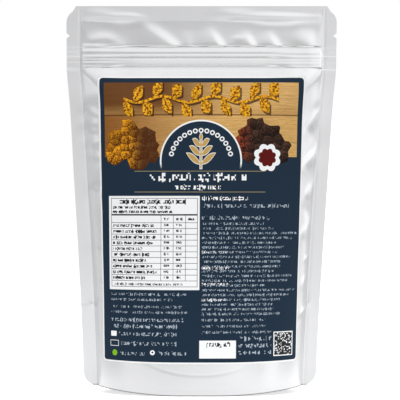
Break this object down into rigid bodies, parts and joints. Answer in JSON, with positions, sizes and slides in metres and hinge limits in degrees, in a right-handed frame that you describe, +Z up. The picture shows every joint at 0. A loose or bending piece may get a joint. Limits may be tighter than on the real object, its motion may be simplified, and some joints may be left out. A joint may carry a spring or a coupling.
{
  "type": "stand-up pouch",
  "caption": "Sealed stand-up film pouch with a folded bottom gusset, a press-to-close zip, tear notches and a front label, filled with dried pieces.",
  "frame": {"origin": "on the floor under the middle of the foot, in the plane of the side seals", "axes": "+Z up through the top seal, +Y towards the back panel with the labelled front facing -Y, +X to the right seen from the front"},
  "size_m": [0.14, 0.0494, 0.1994],
  "materials": {
    "front_film": "satin silver-white laminate film",
    "back_film": "satin silver-white laminate film",
    "gusset_film": "satin silver-white laminate film",
    "label_print": "semi-matt printed label, dark navy ground with a thin white border",
    "zip_plastic": "milky translucent zip strip",
    "dried_filling": "dark brown dried pieces"
  },
  "bodies": {
    "root": {"front_panel": "front_film", "back_panel": "back_film", "bottom_gusset": "gusset_film", "label": "label_print", "zip_strip_front": "zip_plastic", "zip_strip_back": "zip_plastic", "filling": "dried_filling"}
  },
  "joints": []
}
